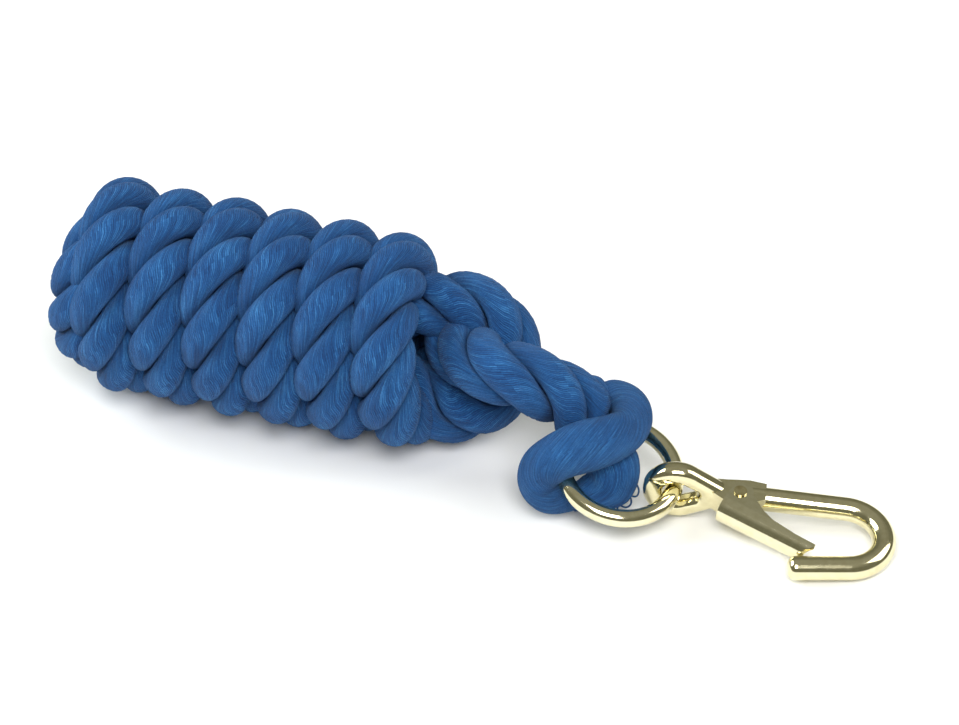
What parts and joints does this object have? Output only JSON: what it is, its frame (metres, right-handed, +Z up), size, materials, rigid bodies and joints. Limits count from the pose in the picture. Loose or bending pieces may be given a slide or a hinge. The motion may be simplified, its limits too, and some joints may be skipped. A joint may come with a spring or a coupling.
{
  "type": "lead rope",
  "caption": "Thick three-strand cotton lead rope for a horse, wound into a hank, with a ring and a snap hook that has a sprung gate.",
  "frame": {"origin": "on the floor, under the middle of the whole object's box", "axes": "+X along the hank towards the hook, +Z up"},
  "size_m": [0.32, 0.0841, 0.0795],
  "materials": {
    "rope": "soft matte twisted cotton yarn, blue",
    "whipping": "waxed twine, dark blue",
    "ring_plating": "polished pale brass plating",
    "hook_plating": "polished pale brass plating on a cast body",
    "gate_plating": "polished pale brass plating on folded sheet",
    "rivet_plating": "pale brass plating",
    "spring_steel": "bright spring wire"
  },
  "bodies": {
    "rope": {"rope_hank": "rope", "rope_bight": "rope", "rope_lead": "rope", "rope_splice": "rope", "rope_tail": "rope", "tail_whipping": "whipping"},
    "ring": {"ring": "ring_plating"},
    "hook": {"hook_body": "hook_plating", "gate_rivet": "rivet_plating", "gate_spring": "spring_steel"},
    "gate": {"gate": "gate_plating"}
  },
  "joints": [
    {"name": "ring_swing", "type": "hinge", "parent": "rope", "child": "ring", "pos_m": [0.04305, -0.00716, 0.02349], "axis": [-0.5972, -0.8011, -0.0396], "range_deg": [-25, 35], "deforming": ["rope_splice"]},
    {"name": "hook_swing", "type": "hinge", "parent": "ring", "child": "hook", "pos_m": [0.07871, -0.01721, 0.01318], "axis": [0.0218, -0.9756, -0.2187], "range_deg": [-40, 75]},
    {"name": "gate_pivot", "type": "hinge", "parent": "hook", "child": "gate", "pos_m": [0.10194, -0.01447, 0.01091], "axis": [0.103, -0.1111, 0.9885], "range_deg": [0, 28], "stiffness_Nm_per_rad": 0.15, "springref_deg": -34.38, "deforming": ["gate_spring"]}
  ]
}
